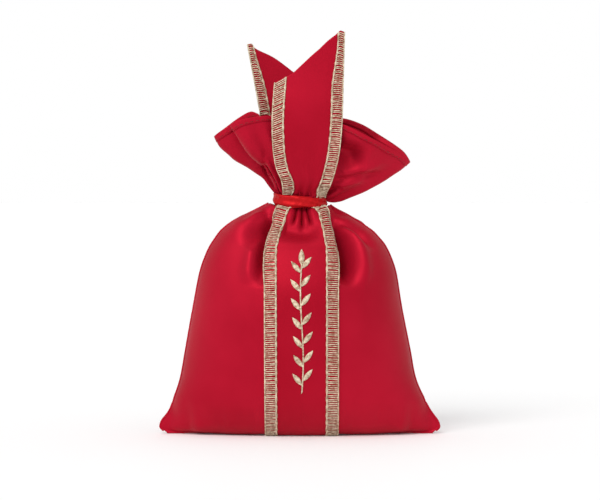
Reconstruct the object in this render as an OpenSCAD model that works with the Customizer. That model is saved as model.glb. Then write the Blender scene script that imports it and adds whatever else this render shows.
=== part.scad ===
// Fabric gift sack: a filled satin sack with a gathered, ribbon-tied neck, an open frill above the tie
// and one long edged band that runs up the front, under the base and up the back, with two free tails.
// Axes: +X to the right, -Y to the front, +Z up. The origin is at the middle of the base, on the surface.

/* [Sack] */
// Width across the two base corners
sack_w = 100; // [90:1:112]
// Depth of the filled belly, front to back
belly_d = 48; // [42:1:50]
// Height of the lower edge of the tie
tie_z = 81; // [76:1:88]
// Thickness of the satin with its seam turnings
cloth_t = 0.6; // [0.4:0.1:0.8]
// Thickness of one thin layer: band, tails and frill
layer_t = 0.5; // [0.3:0.1:0.6]

/* [Neck and tie] */
// Width of the gathered neck
neck_w = 19; // [17:0.5:21]
// Depth of the gathered neck
neck_d = 15; // [13:0.5:15]
// Number of pleats round the neck
pleats = 20; // [14:1:28]
// Width of the tie ribbon
ribbon_w = 4; // [3:0.5:4.5]
// Length of each free ribbon end
ribbon_end_l = 16; // [10:1:18]

/* [Frill] */
// Reach of the left lobe from the middle of the neck
frill_left_x = 30.4; // [26:0.2:36]
// Height of the left lobe's tip
frill_left_z = 107; // [102:0.5:110]
// Reach of the right lobe from the middle of the neck
frill_right_x = 39; // [32:0.5:42]
// Height of the right lobe's tip
frill_right_z = 98; // [96:0.5:106]
// Height of the mouth edge at the middle
mouth_z = 113; // [110:0.5:116]
// Width of the turned hem round the mouth
hem_w = 1.6; // [1:0.2:4]

/* [Band and tails] */
// Width of the band with its edgings
band_w = 26.4; // [22:0.2:30]
// Width of the overlocked edging on each side of the band
edging_w = 4.2; // [3:0.2:5]
// Height of the front tail's tip
front_tail_z = 143.6; // [138:0.2:150]
// Height of the back tail's tip
back_tail_z = 139.4; // [136:0.2:143]
// Length of the embroidered sprig on the band
sprig_l = 51; // [40:1:52]
// Pairs of leaves on the sprig
sprig_pairs = 7; // [5:1:8]

/* [Hidden] */

satin = "#b01228";
satin_dark = "#8c0c1e";
ribbon_red = "#ee2e22";
thread = "#dcc69a";
wadding = "#f2efe6";

// The base of the sack lies on the band, which lies on the surface.
base_z = layer_t;
// Clear gap between cloth layers that only touch on the real sack.
gap = 0.1;
// Clear gap between pieces that move past each other.
clear = 0.6;
edging_t = 0.4;
seam_w = 3;
seam_t = 0.8;
// The neck bundle stands a little above the tie.
neck_top = tie_z + ribbon_w + 1.4;
band_x = 0.6;
// The tails stand outside the frill.
tail_y = neck_d / 2 + 2 * gap + layer_t + clear;

// Profile of the filled belly as shares of the half width, the half depth and the roundness of the
// section, each against the height as a share of tie_z.
width_share = [[0, 0.94], [0.045, 1], [0.09, 0.955], [0.15, 0.908], [0.26, 0.855], [0.37, 0.81],
    [0.5, 0.77], [0.62, 0.736], [0.74, 0.684], [0.84, 0.61], [0.9, 0.53], [0.95, 0.41], [1, 0.24]];
depth_share = [[0, 0.8], [0.045, 0.88], [0.09, 0.93], [0.15, 0.96], [0.26, 0.99], [0.37, 1],
    [0.5, 1], [0.62, 0.98], [0.74, 0.92], [0.84, 0.79], [0.9, 0.67], [0.95, 0.52], [1, 0.38]];
pinch_share = [[0, 1.5], [0.15, 1.3], [0.4, 1.1], [0.7, 1], [1, 1]];
belly_rows = [for (row = [len(width_share) - 1:-1:0]) width_share[row][0]];
// Share of the half depth on the rows that close the underside.
under_rows = [0.66, 0.33, 0];

function half_w(f) = sack_w / 2 * lookup(f, width_share);
function half_d(f) = belly_d / 2 * lookup(f, depth_share);
function pinch(f) = lookup(f, pinch_share);
function row_z(f) = base_z + (tie_z - base_z) * f;
function mix(a, b, t) = a + (b - a) * t;
function smooth(t) = let (s = min(1, max(0, t))) s * s * (3 - 2 * s);
function flat_list(grid) = [for (row = grid) each row];
function quad(a, b, c, d) = [[a, b, c], [a, c, d]];
// The diagonals of the two halves lean opposite ways, so a pointed corner holds no flat triangle.
function leaning_quad(left, a, b, c, d) = left ? quad(b, c, d, a) : quad(a, b, c, d);

// A closed sheet between an outer and an inner grid of points. Rows run from top to bottom and
// columns from left to right as seen from outside.
module sheet(outer, inner) {
    rows = len(outer);
    cols = len(outer[0]);
    n = rows * cols;
    last = rows - 1;
    side = cols - 1;
    across = [0:cols - 2];
    down = [0:rows - 2];
    faces = concat(
        [for (r = down, c = across)
            let (i = r * cols + c)
            each leaning_quad(c < side / 2, i, i + 1, i + cols + 1, i + cols)],
        [for (r = down, c = across)
            let (i = n + r * cols + c)
            each leaning_quad(c < side / 2, i, i + cols, i + cols + 1, i + 1)],
        [for (c = across) each quad(n + c, n + c + 1, c + 1, c)],
        [for (c = across)
            each quad(last * cols + c, last * cols + c + 1, n + last * cols + c + 1, n + last * cols + c)],
        [for (r = down) each quad(r * cols, (r + 1) * cols, n + (r + 1) * cols, n + r * cols)],
        [for (r = down)
            each quad(n + r * cols + side, n + (r + 1) * cols + side, (r + 1) * cols + side, r * cols + side)]
    );
    polyhedron(concat(flat_list(outer), flat_list(inner)), faces);
}

// A closed solid through rings of equal length, listed from top to bottom, each counterclockwise
// from above.
module loft(rings) {
    rows = len(rings);
    n = len(rings[0]);
    faces = concat(
        [for (r = [0:rows - 2], i = [0:n - 1])
            each quad(r * n + i, r * n + (i + 1) % n, (r + 1) * n + (i + 1) % n, (r + 1) * n + i)],
        [[for (i = [n - 1:-1:0]) i], [for (i = [0:n - 1]) (rows - 1) * n + i]]
    );
    polyhedron(flat_list(rings), faces);
}

module mirrored(axis, on) {
    if (on) mirror(axis) children();
    else children();
}

// ---- Sack ----

// Front half of one level of the belly, drawn in from its surface by inset.
function belly_row(f, inset, depth_scale, width_scale, lift) = [
    for (step = [0:24])
        let (u = step / 24 * 180)
        [
            -(half_w(f) * width_scale - inset) * cos(u),
            -(half_d(f) - inset) * depth_scale * pow(sin(u), pinch(f)),
            row_z(f) + lift
        ]
];

function belly_grid(inset) = concat(
    [for (f = belly_rows) belly_row(f, inset, 1, 1, f == 0 ? inset : 0)],
    [for (row = [0:len(under_rows) - 1]) belly_row(0, inset, under_rows[row], 1 - 0.008 * (row + 1), inset)]
);

module panel(back) {
    color(satin) mirrored([0, 1, 0], back) sheet(belly_grid(0), belly_grid(cloth_t));
}

module front_panel() {
    panel(false);
}

module back_panel() {
    panel(true);
}

// Turned-in seam allowance behind one side seam.
module side_seam(right) {
    levels = [for (f = belly_rows) if (f > 0.1 && f < 0.99) f];
    color(satin_dark) mirrored([1, 0, 0], right) sheet(
        [for (f = levels) [for (x = [0, 1]) [-half_w(f) + cloth_t + gap + seam_w * x, -seam_t / 2, row_z(f)]]],
        [for (f = levels) [for (x = [0, 1]) [-half_w(f) + cloth_t + gap + seam_w * x, seam_t / 2, row_z(f)]]]
    );
}

module side_seam_left() {
    side_seam(false);
}

module side_seam_right() {
    side_seam(true);
}

// Turned-in seam allowance along the underside.
module bottom_seam() {
    length = 2 * half_w(0) - 8;
    color(satin_dark) translate([-length / 2, -seam_t / 2, base_z + cloth_t + gap])
        cube([length, seam_t, seam_w]);
}

// Soft wad that fills the belly.
module filling() {
    inset = cloth_t + seam_w + 2 * gap;
    levels = [for (f = belly_rows) if (f > 0.08 && f < 0.97) f];
    floor_lift = row_z(0.09) - base_z - cloth_t - seam_w - 2 * gap;
    color(wadding) loft([
        for (f = levels)
            let (front = belly_row(f, inset, 1, 1, f < 0.1 ? -floor_lift : 0))
            concat(front, [for (i = [23:-1:1]) [front[i][0], -front[i][1], front[i][2]]])
    ]);
}

// ---- Neck and tie ----

// Pleated outline of the gathered neck.
module neck_gather() {
    points = pleats * 6;
    pleat_depth = 0.5;
    color(satin_dark) translate([0, 0, tie_z + gap]) linear_extrude(neck_top - tie_z - gap)
        polygon([
            for (i = [0:points - 1])
                let (a = i * 360 / points, d = pleat_depth * (cos(a * pleats) - 1))
                [(neck_w / 2 + d) * cos(a), (neck_d / 2 + d) * sin(a)]
        ]);
}

function oval(half_x, half_y) = [
    for (a = [0:7.5:352.5]) [half_x * cos(a), half_y * sin(a)]
];

// Half sizes of the tie, which goes round the neck and both layers of the band.
tie_half_x = neck_w / 2 + 2 * gap;
tie_half_y = neck_d / 2 + 2 * gap + layer_t;
ribbon_t = 0.5;

module tie_ribbon() {
    color(ribbon_red) translate([0, 0, tie_z]) linear_extrude(ribbon_w) difference() {
        polygon(oval(tie_half_x + ribbon_t, tie_half_y + ribbon_t));
        polygon(oval(tie_half_x, tie_half_y));
    }
}

knot_r = ribbon_w * 0.48;
knot_y = tie_half_y + ribbon_t + knot_r + 0.05;
knot_z = tie_z + ribbon_w / 2;

module tie_knot() {
    spread = 1.6;
    color(ribbon_red) hull() for (x = [-spread, spread])
        translate([x, knot_y, knot_z]) sphere(r = knot_r, $fn = 24);
}

// Free end of the ribbon, hung just behind the shoulder of the sack.
end_y = knot_y + knot_r + 0.3;
end_lean = 36;
end_splay = 22;

module tie_end(right) {
    half = ribbon_w / 2;
    color(ribbon_red) mirrored([1, 0, 0], right)
        translate([-1.6, end_y, knot_z]) rotate([end_lean, 0, 0]) rotate([90, 0, 0])
        rotate([0, 0, -end_splay]) translate([0, 0, -ribbon_t / 2]) linear_extrude(ribbon_t)
        polygon([[-half, -0.5], [half, -0.5], [half, -ribbon_end_l + 3], [-half, -ribbon_end_l]]);
}

module tie_end_left() {
    tie_end(false);
}

module tie_end_right() {
    tie_end(true);
}

// ---- Band ----

// Half width of the band at a height share: full over the belly, drawn in to the neck.
function band_half(f) = mix(band_w / 2, neck_w * 0.4, smooth((f - 0.72) / 0.28));

// Depth of the belly's surface at x, on the height share f.
function belly_y(x, f) = half_d(f) * pow(max(0, 1 - pow(x / half_w(f), 2)), pinch(f) / 2);

band_rows = [1, 0.95, 0.9, 0.84, 0.74, 0.62, 0.5, 0.37, 0.26, 0.15, 0.09, 0.045, 0];

// Points of one layer on the front of the belly, from share a to share b of the band's width.
function band_grid(a, b, cols, lift) = [
    for (f = band_rows) [
        for (c = [0:cols])
            let (x = band_x * (1 - smooth((f - 0.8) / 0.2)) + band_half(f) * mix(a, b, c / cols))
            [x, -belly_y(x, f) - lift, row_z(f)]
    ]
];

module band_layer(a, b, cols, lift, thick, back) {
    mirrored([0, 1, 0], back) sheet(band_grid(a, b, cols, lift + thick), band_grid(a, b, cols, lift));
}

module band_front() {
    color(satin) band_layer(-1, 1, 8, gap, layer_t, false);
}

module band_back() {
    color(satin) band_layer(-1, 1, 8, gap, layer_t, true);
}

// The part of the band that passes under the sack, which the sack stands on.
module band_base() {
    depth = 2 * (half_d(0) + gap + layer_t) - 1;
    color(satin) translate([band_x - band_w / 2, -depth / 2, 0]) cube([band_w, depth, layer_t]);
}

edging_share = 2 * edging_w / band_w;

module band_edging(right, back) {
    a = right ? 1 - edging_share : -1;
    color(thread) band_layer(a, a + edging_share, 2, layer_t + 2 * gap, edging_t, back);
}

module band_front_edging_left() {
    band_edging(false, false);
}

module band_front_edging_right() {
    band_edging(true, false);
}

module band_back_edging_left() {
    band_edging(false, true);
}

module band_back_edging_right() {
    band_edging(true, true);
}

// ---- Embroidered sprig ----

sprig_low = 16;
sprig_lift = layer_t + 5 * gap;
leaf_l = 7;
leaf_w = 2.6;
stem_w = 0.8;

function sprig_y(z) = -belly_y(0, (z - base_z) / (tie_z - base_z)) - sprig_lift;

// Lean of the belly's surface against the upright, over one leaf that starts at height z.
function sprig_lean(z) = atan2(sprig_y(z + leaf_l) - sprig_y(z), leaf_l);

module leaf_shape() {
    polygon([for (t = [0:0.125:1]) [-leaf_w / 2 * sin(t * 180), t * leaf_l],
        for (t = [0.875:-0.125:0.125]) [leaf_w / 2 * sin(t * 180), t * leaf_l]]);
}

module leaf_at(x, z, turn) {
    translate([band_x + x, sprig_y(z), z]) rotate([90 - sprig_lean(z), 0, 0])
        rotate([0, 0, turn]) linear_extrude(edging_t) leaf_shape();
}

module embroidered_sprig() {
    pitch = (sprig_l - leaf_l) / sprig_pairs;
    rows = [for (i = [0:sprig_pairs * 2]) sprig_low + sprig_l - leaf_l - i * pitch / 2];
    color(thread) {
        sheet([for (z = rows) [for (x = [-1, 1]) [band_x + x * stem_w / 2, sprig_y(z) - edging_t, z]]],
            [for (z = rows) [for (x = [-1, 1]) [band_x + x * stem_w / 2, sprig_y(z), z]]]);
        for (i = [0:sprig_pairs - 1], side = [-1, 1])
            leaf_at(side * (stem_w / 2 + 0.1), sprig_low + i * pitch + 1, -side * 28);
        leaf_at(0, sprig_low + sprig_l - leaf_l + 0.1, 0);
    }
}

// ---- Tails ----

tail_bottom = neck_top + 0.3;
// Width of a tail against the height: drawn in at the neck, full width a third of the way up.
function tail_spread(z) = smooth((z - tail_bottom) / 18);

function front_left(z) = mix(-6, -9.6, tail_spread(z));
function front_right(z) = mix(8.6, front_left_top + band_w, tail_spread(z));
front_left_top = -10.8;
// Slanting cut of the front tail, high on the right.
function front_cut(x) = front_tail_z - lookup(x, [[-10, 19], [-4.8, 16.1], [-2, 14.8], [12.9, 1.2], [15.6, 0]]);

function back_left(z) = mix(-7, -14.4, tail_spread(z)) - 4.2 * smooth((z - 112) / 40);
function back_right(z) = back_left(z) + mix(14.4, band_w, tail_spread(z));
// Slanting cut of the back tail, high on the left.
function back_cut(x) = back_tail_z - lookup(x, [[-18.6, 0], [-16.4, 0.6], [-7.9, 6.4], [7, 18], [12, 21]]);

// Outline between two edges, each a function of the height, under a slanting cut.
function strip(edge, a, b) = [
    for (i = [0:12]) let (z = mix(tail_bottom, edge_top(edge, a), i / 12)) [edge_x(edge, a, z), z],
    for (i = [1:5]) let (x = mix(top_x(edge, a), top_x(edge, b), i / 6)) [x, cut_z(edge, x)],
    for (i = [12:-1:0]) let (z = mix(tail_bottom, edge_top(edge, b), i / 12)) [edge_x(edge, b, z), z]
];

function cut_z(edge, x) = edge == "front" ? front_cut(x) : back_cut(x);
function edge_x(edge, share, z) = edge == "front"
    ? mix(front_left(z), front_right(z), share)
    : mix(back_left(z), back_right(z), share);
// The cut meets the edge where its height and the edge's agree; two passes are close enough.
function edge_top(edge, share) = cut_z(edge, edge_x(edge, share, cut_z(edge, edge_x(edge, share, 125))));
function top_x(edge, share) = edge_x(edge, share, edge_top(edge, share));

module tail_layer(edge, a, b, y, thick) {
    back = edge == "back";
    translate([0, back ? y + thick : -y, 0]) rotate([90, 0, 0]) linear_extrude(thick) polygon(strip(edge, a, b));
}

tail_edging_share = edging_w / band_w;

module front_tail() {
    color(satin) tail_layer("front", 0, 1, tail_y, layer_t);
}

module front_tail_edging_left() {
    color(thread) tail_layer("front", 0, tail_edging_share, tail_y + layer_t, edging_t);
}

module front_tail_edging_right() {
    color(thread) tail_layer("front", 1 - tail_edging_share, 1, tail_y + layer_t, edging_t);
}

module back_tail() {
    color(satin) tail_layer("back", 0, 1, tail_y, layer_t);
}

module back_tail_edging_left() {
    color(thread) tail_layer("back", 0, tail_edging_share, tail_y + layer_t, edging_t);
}

module back_tail_edging_right() {
    color(thread) tail_layer("back", 1 - tail_edging_share, 1, tail_y + layer_t, edging_t);
}

// ---- Frill ----

frill_y = neck_d / 2 - 0.3;
// The two lobes stand apart at the middle, behind the tails, so that each can lift.
middle_gap = 0.8;
middle_open = 5.4;
frill_foot = neck_top + 0.6;

// A point of one layer of a lobe, as it lies on the left: c runs from the middle to the side seam
// and s from the neck to the mouth edge. out moves it off the layer's outer face.
function frill_point(reach, tip_z, c, s, out) =
    let (
        turn = c * 90,
        foot = [
            -(middle_gap + (neck_w / 2 - 1.5 - middle_gap) * sin(turn)) - out * sin(turn),
            -frill_y * cos(turn) - out * cos(turn),
            frill_foot + 2.2 * sin(turn)
        ],
        edge = [
            -mix(middle_open, reach, c) - out * sin(turn),
            -(frill_y + out) * pow(cos(turn), 0.7),
            mix(mouth_z, tip_z, pow(c, 1.6)) + 2 * sin(2 * turn)
        ]
    )
    foot + (edge - foot) * s;

frill_cols = 10;
frill_steps = 6;

function frill_grid(reach, tip_z, low, steps, out) = [
    for (row = [0:steps]) [
        for (col = [0:frill_cols])
            frill_point(reach, tip_z, 1 - col / frill_cols, mix(1, low, row / steps), out)
    ]
];

module lobe(reach, tip_z, right, back, low, steps, near, thick) {
    mirrored([1, 0, 0], right) mirrored([0, 1, 0], back)
        sheet(frill_grid(reach, tip_z, low, steps, near + thick), frill_grid(reach, tip_z, low, steps, near));
}

module frill_layer(right, back) {
    reach = right ? frill_right_x : frill_left_x;
    tip = right ? frill_right_z : frill_left_z;
    color(satin) lobe(reach, tip, right, back, 0, frill_steps, -layer_t, layer_t);
}

module hem(right, back) {
    reach = right ? frill_right_x : frill_left_x;
    tip = right ? frill_right_z : frill_left_z;
    color(satin_dark) lobe(reach, tip, right, back, 1 - hem_w / 30, 2, -layer_t - gap - 0.4, 0.4);
}

module frill_front_left() {
    frill_layer(false, false);
}

module frill_front_right() {
    frill_layer(true, false);
}

module frill_back_left() {
    frill_layer(false, true);
}

module frill_back_right() {
    frill_layer(true, true);
}

module hem_front_left() {
    hem(false, false);
}

module hem_front_right() {
    hem(true, false);
}

module hem_back_left() {
    hem(false, true);
}

module hem_back_right() {
    hem(true, true);
}

filling();
front_panel();
back_panel();
side_seam_left();
side_seam_right();
bottom_seam();
neck_gather();
tie_ribbon();
tie_knot();
tie_end_left();
tie_end_right();
band_front();
band_base();
band_back();
band_front_edging_left();
band_front_edging_right();
band_back_edging_left();
band_back_edging_right();
embroidered_sprig();
front_tail();
front_tail_edging_left();
front_tail_edging_right();
back_tail();
back_tail_edging_left();
back_tail_edging_right();
frill_front_left();
frill_front_right();
frill_back_left();
frill_back_right();
hem_front_left();
hem_front_right();
hem_back_left();
hem_back_right();
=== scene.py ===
"""Looks of the fabric gift sack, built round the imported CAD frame.

Shapes are worked out in millimetres, in the row frame: +X right, -Y front, +Z up, origin at the
middle of the base. Objects are made in metres.
"""

import math

import bpy
import numpy as np
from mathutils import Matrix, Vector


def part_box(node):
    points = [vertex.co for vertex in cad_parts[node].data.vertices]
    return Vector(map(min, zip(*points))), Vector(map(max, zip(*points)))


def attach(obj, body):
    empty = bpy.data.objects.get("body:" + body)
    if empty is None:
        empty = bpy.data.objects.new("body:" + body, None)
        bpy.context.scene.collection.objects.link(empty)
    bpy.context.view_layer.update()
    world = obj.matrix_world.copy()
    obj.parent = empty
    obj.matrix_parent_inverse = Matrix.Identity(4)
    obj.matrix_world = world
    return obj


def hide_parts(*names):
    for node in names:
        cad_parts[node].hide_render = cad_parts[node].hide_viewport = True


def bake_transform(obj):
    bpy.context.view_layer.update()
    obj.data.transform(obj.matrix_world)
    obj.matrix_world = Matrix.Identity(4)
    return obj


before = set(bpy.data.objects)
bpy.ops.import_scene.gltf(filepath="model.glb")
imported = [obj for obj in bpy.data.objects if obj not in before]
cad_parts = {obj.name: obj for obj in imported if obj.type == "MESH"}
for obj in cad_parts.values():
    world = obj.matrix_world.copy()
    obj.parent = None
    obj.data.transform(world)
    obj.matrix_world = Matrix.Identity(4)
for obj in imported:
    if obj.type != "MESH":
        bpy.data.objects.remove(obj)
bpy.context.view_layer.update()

MM = 0.001


# ---------------------------------------------------------------- sizes, from the frame

def node_box(node):
    """Lowest and highest corners of a CAD node, in millimetres."""
    low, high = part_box(node)
    return np.array(low) / MM, np.array(high) / MM


band_low, band_high = node_box("band_base")
TIE_HIGH = node_box("tie_ribbon")[1][2]
BAND_W = band_high[0] - band_low[0]
EDGING_W = 4.2
# The cloth laid flat: the sack's width, and its lengths below and above the tie.
FLAT_W = 100.0
GIRTH = 2 * FLAT_W
BELLY_L = 88.5
FRILL_L = 30.0


# ---------------------------------------------------------------- camera, light and floor

def new_paint(name):
    paint = bpy.data.materials.new(name)
    paint.use_nodes = True
    return paint, paint.node_tree, paint.node_tree.nodes["Principled BSDF"]


# Width of the view in millimetres where the sack stands, and how far off and how high the camera is.
VIEW_W_MM = 214.3
CAMERA_D = 1.25
CAMERA_RISE = math.radians(2.0)
AIM_Z = 0.0657


def make_camera():
    data = bpy.data.cameras.new("camera")
    data.sensor_width = 36
    data.lens = 36 * CAMERA_D / (VIEW_W_MM * MM)
    data.clip_start = 0.05
    data.clip_end = 20
    camera = bpy.data.objects.new("camera", data)
    bpy.context.scene.collection.objects.link(camera)
    camera.location = (0, -CAMERA_D * math.cos(CAMERA_RISE), AIM_Z + CAMERA_D * math.sin(CAMERA_RISE))
    camera.rotation_euler = (math.pi / 2 - CAMERA_RISE, 0, 0)
    bpy.context.scene.camera = camera


WORLD_LIGHT = 0.64
SUN_LIGHT = 1.85
SUN_SOFTNESS = math.radians(38)
SUN_TURN = (math.radians(46), 0, math.radians(-24))


def make_light():
    """A white studio: even light from all round and one large soft light from above and in front."""
    world = bpy.data.worlds.new("studio")
    bpy.context.scene.world = world
    world.use_nodes = True
    world.node_tree.nodes["Background"].inputs["Color"].default_value = (1, 1, 1, 1)
    world.node_tree.nodes["Background"].inputs["Strength"].default_value = WORLD_LIGHT
    data = bpy.data.lights.new("soft_key", "SUN")
    data.energy = SUN_LIGHT
    data.angle = SUN_SOFTNESS
    light = bpy.data.objects.new("soft_key", data)
    bpy.context.scene.collection.objects.link(light)
    light.rotation_euler = SUN_TURN


def make_backdrop():
    """A white dome round the set. It gives no light of its own to the object."""
    bpy.ops.mesh.primitive_uv_sphere_add(segments=48, ring_count=24, radius=3.9)
    dome = bpy.context.object
    dome.name = "backdrop"
    paint, _, shader = new_paint("backdrop_white")
    shader.inputs["Base Color"].default_value = (0, 0, 0, 1)
    shader.inputs["Specular IOR Level"].default_value = 0
    shader.inputs["Emission Color"].default_value = (1, 1, 1, 1)
    shader.inputs["Emission Strength"].default_value = 1.0
    dome.data.materials.append(paint)
    dome.visible_diffuse = dome.visible_glossy = dome.visible_shadow = dome.visible_transmission = False


def make_floor():
    bpy.ops.mesh.primitive_plane_add(size=8)
    floor = bpy.context.object
    floor.name = "floor"
    paint, _, shader = new_paint("floor_white")
    shader.inputs["Base Color"].default_value = (0.98, 0.98, 0.98, 1)
    shader.inputs["Roughness"].default_value = 0.7
    shader.inputs["Emission Color"].default_value = (1, 1, 1, 1)
    shader.inputs["Emission Strength"].default_value = 0.03
    floor.data.materials.append(paint)


# ---------------------------------------------------------------- lines and grids of points

def smooth(t):
    t = np.clip(t, 0, 1)
    return t * t * (3 - 2 * t)


def mix(a, b, t):
    return a + (b - a) * t


def table(x, rows):
    """The value at x of a line through rows of (x, value)."""
    xs, ys = zip(*rows)
    return np.interp(x, xs, ys)


def curve(x, rows):
    """As table, but with its corners rounded over."""
    xs = np.array([r[0] for r in rows], float)
    reach = 0.35 * np.min(np.diff(xs))
    return sum(table(np.asarray(x) + reach * k, rows) for k in (-1, -0.5, 0, 0.5, 1)) / 5


def arc_length(points):
    return np.linalg.norm(np.diff(points, axis=0), axis=1).sum()


def lengths_along(points):
    """How far along a line each of its points is."""
    return np.concatenate([[0], np.cumsum(np.linalg.norm(np.diff(points, axis=0), axis=1))])


def resample(points, count):
    """count points evenly along a line, without its last point."""
    along = lengths_along(points)
    want = np.arange(count) / count * along[-1]
    return np.stack([np.interp(want, along, points[:, k]) for k in range(points.shape[1])], 1)


def refine(grid, times, axis=0, closed=False):
    """The grid with times points for each one along axis, on a smooth line (Catmull-Rom)."""
    p = np.moveaxis(np.asarray(grid, float), axis, 0)
    n = len(p)
    count = n if closed else n - 1
    step = np.arange(count)

    def near(k):
        return p[(step + k) % n] if closed else p[np.clip(step + k, 0, n - 1)]

    a, b, c, d = near(-1), near(0), near(1), near(2)
    parts = []
    for t in np.arange(times) / times:
        parts.append(0.5 * (2 * b + (c - a) * t + (2 * a - 5 * b + 4 * c - d) * t ** 2
                            + (3 * b - a - 3 * c + d) * t ** 3))
    out = np.stack(parts, 1).reshape((count * times,) + p.shape[1:])
    if not closed:
        out = np.concatenate([out, p[-1:]])
    return np.moveaxis(out, 0, axis)


def blur(grid, axis, passes, closed=False):
    """The grid with each point drawn towards its neighbours along axis."""
    p = np.moveaxis(np.array(grid, float), axis, 0)
    for _ in range(passes):
        if closed:
            p = (np.roll(p, 1, 0) + 2 * p + np.roll(p, -1, 0)) / 4
        else:
            p[1:-1] = (p[:-2] + 2 * p[1:-1] + p[2:]) / 4
    return np.moveaxis(p, 0, axis)


def unit(v):
    return v / np.maximum(np.linalg.norm(v, axis=-1, keepdims=True), 1e-9)


def normals_of(grid, closed=False):
    """Outward normals of a grid whose columns run rightwards and rows upwards as seen from outside."""
    if closed:
        across = np.roll(grid, -1, 1) - np.roll(grid, 1, 1)
    else:
        across = np.gradient(grid, axis=1)
    up = np.gradient(grid, axis=0)
    return unit(np.cross(across, up))


class Cloth:
    """A grid of points that can be read anywhere, by row and column or by share of its width and height."""

    def __init__(self, grid):
        self.grid = grid
        self.normals = unit(blur(blur(normals_of(grid), 0, 1), 1, 1))

    def read(self, row, col):
        """Point and normal at fractional rows and columns."""
        rows, cols = self.grid.shape[:2]
        row, col = np.broadcast_arrays(np.clip(row, 0, rows - 1.001), np.clip(col, 0, cols - 1.001))
        i, j = row.astype(int), col.astype(int)
        f, g = (row - i)[..., None], (col - j)[..., None]

        def blend_of(a):
            return ((a[i, j] * (1 - g) + a[i, j + 1] * g) * (1 - f)
                    + (a[i + 1, j] * (1 - g) + a[i + 1, j + 1] * g) * f)

        return blend_of(self.grid), unit(blend_of(self.normals))


# ---------------------------------------------------------------- meshes

def link(name, vertices, faces, paint=None):
    """A mesh object from points in millimetres."""
    name = name + "_made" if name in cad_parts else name
    mesh = bpy.data.meshes.new(name)
    mesh.from_pydata((np.asarray(vertices) * MM).tolist(), [], faces)
    mesh.update()
    mesh.polygons.foreach_set("use_smooth", [True] * len(mesh.polygons))
    made = bpy.data.objects.new(name, mesh)
    bpy.context.scene.collection.objects.link(made)
    if paint:
        mesh.materials.append(paint)
    return made


def grid_faces(rows, cols, closed=False, first=0):
    i, j = np.meshgrid(np.arange(rows - 1), np.arange(cols if closed else cols - 1), indexing="ij")
    k = (j + 1) % cols
    return (first + np.stack([i * cols + j, i * cols + k, (i + 1) * cols + k, (i + 1) * cols + j], -1)
            ).reshape(-1, 4).tolist()


def add_uv(made, rows, cols, width, height):
    """Cloth coordinates in metres, so that a weave keeps its scale."""
    layer = made.data.uv_layers.new(name="cloth")
    corner = np.zeros(len(made.data.loops), np.int32)
    made.data.loops.foreach_get("vertex_index", corner)
    corner %= rows * cols
    uv = np.stack([(corner % cols) / (cols - 1) * width, (corner // cols) / (rows - 1) * height], 1)
    layer.data.foreach_set("uv", (uv * MM).astype(np.float32).ravel())


def cloth_piece(name, grid, thick, paint, size):
    """A sheet with thickness and closed edges: the grid is its outer face."""
    rows, cols = grid.shape[:2]
    inner = grid - normals_of(grid) * thick
    n = rows * cols
    faces = grid_faces(rows, cols)
    faces += [[n + c for c in reversed(f)] for f in grid_faces(rows, cols)]
    number = np.arange(n).reshape(rows, cols)
    rim = [*number[0], *number[1:, -1], *number[-1, -2::-1], *number[-2:0:-1, 0]]
    rim = [int(c) for c in rim]
    faces += [[b, a, a + n, b + n] for a, b in zip(rim, rim[1:] + rim[:1])]
    made = link(name, np.concatenate([grid.reshape(-1, 3), inner.reshape(-1, 3)]), faces, paint)
    add_uv(made, rows, cols, *size)
    return made


class Threads:
    """Collects many thin tubes into one mesh."""

    def __init__(self):
        self.points, self.faces, self.count = [], [], 0

    def add(self, paths, normals, radius, sides=5):
        """paths is tubes x points x 3, with a normal for each point and one radius or one for each point."""
        paths, normals = np.asarray(paths, float), np.asarray(normals, float)
        along = unit(np.gradient(paths, axis=1))
        across = unit(np.cross(along, normals))
        up = np.cross(across, along)
        turn = np.arange(sides) / sides * 2 * np.pi
        size = np.broadcast_to(radius, paths.shape[:2])[..., None, None]
        rings = (paths[:, :, None] + size * (np.cos(turn)[None, None, :, None] * across[:, :, None]
                                             + np.sin(turn)[None, None, :, None] * up[:, :, None]))
        tubes, steps = paths.shape[:2]
        self.points.append(rings.reshape(-1, 3))
        base = self.count + np.arange(tubes)[:, None, None] * steps * sides
        quads = np.array(grid_faces(steps, sides, closed=True)).reshape(1, -1, 4)
        self.faces += (base + quads).reshape(-1, 4).tolist()
        for e in base[:, 0, 0]:
            self.faces.append(list(range(e + sides - 1, e - 1, -1)))
            self.faces.append(list(range(e + (steps - 1) * sides, e + steps * sides)))
        self.count += tubes * steps * sides

    def link(self, name, paint):
        return link(name, np.concatenate(self.points), self.faces, paint)


# ---------------------------------------------------------------- pleated rings

# Stretches of the cloth round the sack, from the left seam along the front to the right seam: cloth
# length, number of pleats, and length along the neck's outline.
FRONT_STRETCHES = [(15.0, 1, 2.4), (11.0, 1, 1.6), (10.8, 1, 1.6), (BAND_W, 4, 15.2),
                   (10.8, 1, 1.6), (11.0, 1, 1.6), (15.0, 1, 2.4)]
STRETCHES = FRONT_STRETCHES * 2
NECK_A, NECK_B, NECK_ROUND = 8.4, 6.8, 0.75
COLS = 176
CLOTH_STEP = GIRTH / COLS


def oval(a, b, roundness):
    """A dense outline from the left seam along the front, with its length along it."""
    turn = np.linspace(0, 2 * np.pi, 2401)
    x = -a * np.cos(turn)
    y = -b * np.sign(np.sin(turn)) * np.abs(np.sin(turn)) ** roundness
    outline = np.stack([x, y], 1)
    return outline, lengths_along(outline)


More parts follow.
